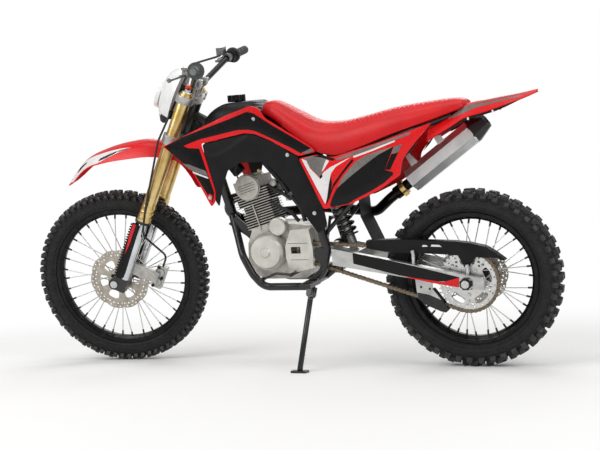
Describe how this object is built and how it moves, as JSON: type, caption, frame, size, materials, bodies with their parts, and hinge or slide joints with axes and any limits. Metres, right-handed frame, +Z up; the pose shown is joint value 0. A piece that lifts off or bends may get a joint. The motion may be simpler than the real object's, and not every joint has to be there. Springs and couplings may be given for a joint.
{
  "type": "motocross bike",
  "caption": "Full-size motocross bike with red plastics, knobbly tyres and wire wheels, parked on its side stand.",
  "frame": {"origin": "floor point below the middle of the parked bike's bounding box", "axes": "+X towards the rear wheel, +Y to the bike's right, +Z up"},
  "size_m": [2.0786, 0.7964, 1.2565],
  "materials": {
    "tread_rubber": "dull black moulded rubber",
    "black_alloy": "black anodised aluminium",
    "satin_alloy": "satin cast and extruded aluminium",
    "brake_steel": "ground and plated steel",
    "gold_alloy": "gold anodised aluminium",
    "red_plastic": "red moulded plastic",
    "white_plastic": "white moulded plastic",
    "black_plastic": "black moulded plastic",
    "black_steel": "black painted steel tube",
    "hose_rubber": "black rubber",
    "seat_cover": "red grained vinyl",
    "spring_steel": "red coated spring wire"
  },
  "bodies": {
    "frame": {"air_box": "black_plastic", "carburettor": "satin_alloy", "chain": "brake_steel", "chain_guard": "black_plastic", "chain_guide": "black_plastic", "crankcase": "satin_alloy", "cylinder": "satin_alloy", "cylinder_head": "satin_alloy", "engine_covers": "satin_alloy", "engine_cradle": "black_steel", "exhaust_pipe": "brake_steel", "foot_levers": "brake_steel", "footpegs": "brake_steel", "frame_cover_left": "black_plastic", "frame_cover_right": "black_plastic", "frame_head": "black_steel", "fuel_cap": "black_plastic", "fuel_tank": "red_plastic", "inner_fender": "black_plastic", "muffler": "satin_alloy", "rear_axle": "brake_steel", "rear_caliper": "gold_alloy", "rear_fender": "red_plastic", "rear_shock": "spring_steel", "rear_spars": "black_steel", "seat": "seat_cover", "shroud_left": "red_plastic", "shroud_right": "red_plastic", "side_panel_left": "red_plastic", "side_panel_right": "red_plastic", "stand_bracket": "black_steel", "subframe": "black_steel", "swingarm": "satin_alloy"},
    "fork": {"fork_tubes": "gold_alloy", "fork_sliders": "satin_alloy", "fork_guards": "black_plastic", "triple_clamps": "black_alloy", "handlebar": "black_alloy", "grips": "hose_rubber", "hand_controls": "black_plastic", "front_axle": "brake_steel", "front_fender": "red_plastic", "headlight_mask": "white_plastic", "front_caliper": "gold_alloy", "brake_hose": "hose_rubber"},
    "front_wheel": {"front_tyre": "tread_rubber", "front_rim": "black_alloy", "front_hub": "satin_alloy", "front_disc": "brake_steel"},
    "rear_wheel": {"rear_tyre": "tread_rubber", "rear_rim": "black_alloy", "rear_hub": "satin_alloy", "rear_sprocket": "brake_steel", "rear_disc": "brake_steel"},
    "side_stand": {"side_stand": "black_steel"}
  },
  "joints": [
    {"name": "steering", "type": "hinge", "parent": "frame", "child": "fork", "pos_m": [-0.65433, 0.09778, 0.32369], "axis": [0.4445, -0.1091, 0.8891], "range_deg": [-53.8, 30.2]},
    {"name": "front_wheel_spin", "type": "hinge", "parent": "fork", "child": "front_wheel", "pos_m": [-0.69466, 0.08599, 0.34241], "axis": [-0.1834, 0.9605, 0.2095], "continuous": true},
    {"name": "rear_wheel_spin", "type": "hinge", "parent": "frame", "child": "rear_wheel", "pos_m": [0.72151, 0.09869, 0.3189], "axis": [-0.0002, 0.9925, 0.1219], "continuous": true},
    {"name": "side_stand_fold", "type": "hinge", "parent": "frame", "child": "side_stand", "pos_m": [0.1476, -0.02891, 0.27393], "axis": [-0.0007, -0.9397, 0.342], "range_deg": [0, 95]}
  ]
}
